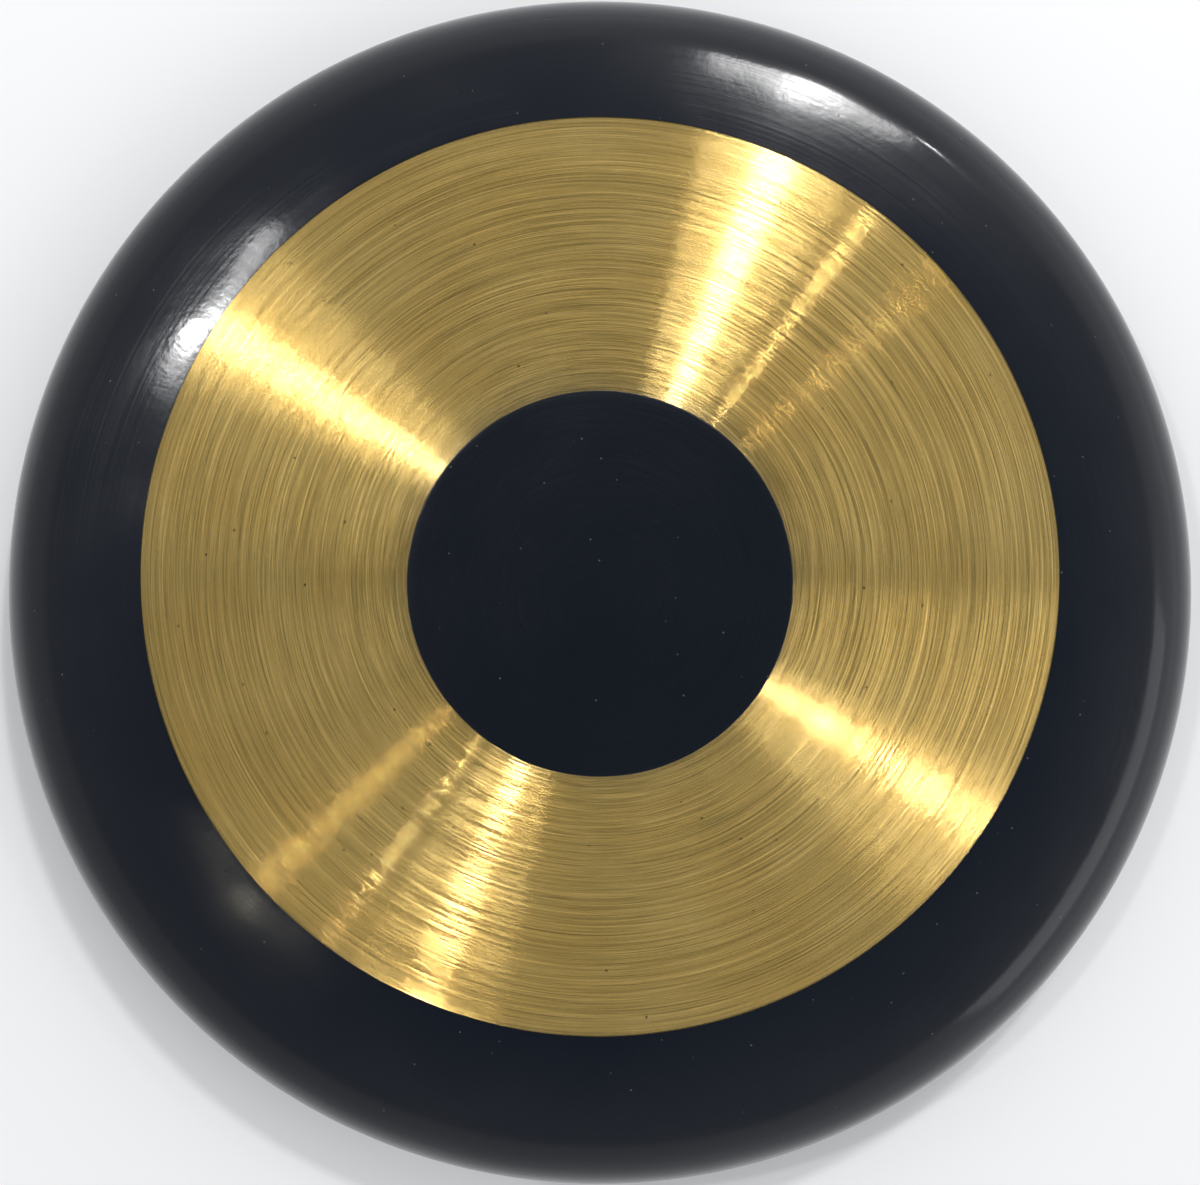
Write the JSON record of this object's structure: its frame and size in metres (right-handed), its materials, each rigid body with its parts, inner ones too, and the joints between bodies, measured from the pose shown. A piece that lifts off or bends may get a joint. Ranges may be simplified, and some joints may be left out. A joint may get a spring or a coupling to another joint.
{
  "type": "hanging gong",
  "caption": "Shallow round brass gong with a turned-back rim, glossy black lacquered border and centre, a bright lathe-turned ring between them, and cord holes in the rim.",
  "frame": {"origin": "centre of the rim's rear edge, on the plane that the gong lies on", "axes": "+Z along the plate's axis, out of the face; +Y towards the cord holes, the top when the gong hangs; +X to the right, seen from in front of the face"},
  "size_m": [0.3598, 0.3598, 0.0426],
  "materials": {
    "brass": "lathe-turned, fine circular brushing",
    "gloss_lacquer": "glossy blue-black lacquer",
    "satin_lacquer": "satin blue-black lacquer with orange peel",
    "back_lacquer": "dull black lacquer"
  },
  "bodies": {
    "root": {"gong_plate": "brass", "border_lacquer": "gloss_lacquer", "centre_lacquer": "satin_lacquer", "back_lacquer": "back_lacquer"}
  },
  "joints": []
}
